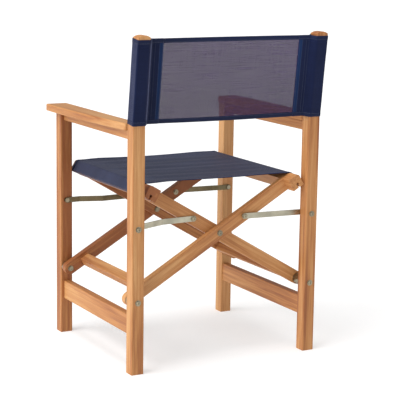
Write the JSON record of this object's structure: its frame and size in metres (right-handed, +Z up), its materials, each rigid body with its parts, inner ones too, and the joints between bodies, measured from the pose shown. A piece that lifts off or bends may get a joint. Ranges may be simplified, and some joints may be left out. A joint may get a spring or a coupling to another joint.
{
  "type": "director chair",
  "caption": "Folding director chair with wooden side frames and flat arms, crossed scissor frames, steel links, and a mesh fabric seat and back.",
  "frame": {"origin": "on the floor at the middle of the chair's footprint, half way across the width and half way between the arms' front ends and the rear posts' tops", "axes": "+Z up, the sitter faces -Y, +X to the sitter's left"},
  "size_m": [0.6158, 0.5315, 0.8815],
  "materials": {
    "teak": "oiled smooth teak, warm orange-brown, fine straight grain",
    "seat_mesh": "close-woven matt outdoor mesh, dark navy",
    "back_mesh": "single layer of open outdoor mesh, dark navy, partly see-through",
    "rod": "plain dark plastic rod",
    "steel": "satin stainless steel"
  },
  "bodies": {
    "side_left": {"rear_leg_left": "teak", "front_leg_left": "teak", "armrest_left": "teak", "arm_rail_left": "teak", "stretcher_left": "teak", "pivot_bolts_left": "steel", "pivot_nuts_left": "steel", "pivot_spacers_left": "steel", "link_pins_left": "steel", "back_sleeve_left": "seat_mesh", "back_panel": "back_mesh"},
    "outer_frame": {"outer_bar_rear": "teak", "outer_bar_front": "teak", "seat_rail_right": "teak", "cross_rail_left": "teak", "rail_screws_right": "steel", "link_nuts_right": "steel", "centre_bolts": "steel", "centre_nuts": "steel", "centre_washers": "steel", "seat_wrap_right": "seat_mesh", "seat_rod_right": "rod", "seat_panel": "seat_mesh"},
    "inner_frame": {"inner_bar_rear": "teak", "inner_bar_front": "teak", "seat_rail_left": "teak", "cross_rail_right": "teak", "rail_screws_left": "steel", "link_nuts_left": "steel", "seat_wrap_left": "seat_mesh", "seat_rod_left": "rod"},
    "side_right": {"rear_leg_right": "teak", "front_leg_right": "teak", "armrest_right": "teak", "arm_rail_right": "teak", "stretcher_right": "teak", "pivot_bolts_right": "steel", "pivot_nuts_right": "steel", "pivot_spacers_right": "steel", "link_pins_right": "steel", "back_sleeve_right": "seat_mesh"},
    "link_front_left": {"link_front_left": "steel", "link_stud_front_left": "steel"},
    "link_rear_left": {"link_rear_left": "steel", "link_stud_rear_left": "steel"},
    "link_front_right": {"link_front_right": "steel", "link_stud_front_right": "steel"},
    "link_rear_right": {"link_rear_right": "steel", "link_stud_rear_right": "steel"}
  },
  "joints": [
    {"name": "fold", "type": "hinge", "parent": "side_left", "child": "outer_frame", "pos_m": [0.2625, -0.01046, 0.192], "axis": [0, 1, 0], "range_deg": [0, 35.69], "deforming": ["seat_panel", "back_panel"]},
    {"name": "scissor", "type": "hinge", "parent": "outer_frame", "child": "inner_frame", "pos_m": [0, -0.01046, 0.346], "axis": [0, 1, 0], "range_deg": [-77.22, 0]},
    {"name": "far_side", "type": "hinge", "parent": "inner_frame", "child": "side_right", "pos_m": [-0.2625, -0.01046, 0.192], "axis": [0, 1, 0], "range_deg": [0, 35.7]},
    {"name": "link_front_left", "type": "hinge", "parent": "side_left", "child": "link_front_left", "pos_m": [0.2625, -0.01046, 0.385], "axis": [0, 1, 0], "range_deg": [0, 58.38]},
    {"name": "link_rear_left", "type": "hinge", "parent": "side_left", "child": "link_rear_left", "pos_m": [0.2625, -0.01046, 0.385], "axis": [0, 1, 0], "range_deg": [0, 58.38]},
    {"name": "link_front_right", "type": "hinge", "parent": "side_right", "child": "link_front_right", "pos_m": [-0.2625, -0.01046, 0.385], "axis": [0, 1, 0], "range_deg": [-58.38, 0]},
    {"name": "link_rear_right", "type": "hinge", "parent": "side_right", "child": "link_rear_right", "pos_m": [-0.2625, -0.01046, 0.385], "axis": [0, 1, 0], "range_deg": [-58.38, 0]}
  ],
  "couplings": [
    {"joint": "scissor", "follows": "fold", "ratio": -2.163},
    {"joint": "far_side", "follows": "fold", "ratio": 1},
    {"joint": "link_front_left", "follows": "fold", "ratio": 1.6353},
    {"joint": "link_rear_left", "follows": "fold", "ratio": 1.6353},
    {"joint": "link_front_right", "follows": "fold", "ratio": -1.6353},
    {"joint": "link_rear_right", "follows": "fold", "ratio": -1.6353}
  ]
}
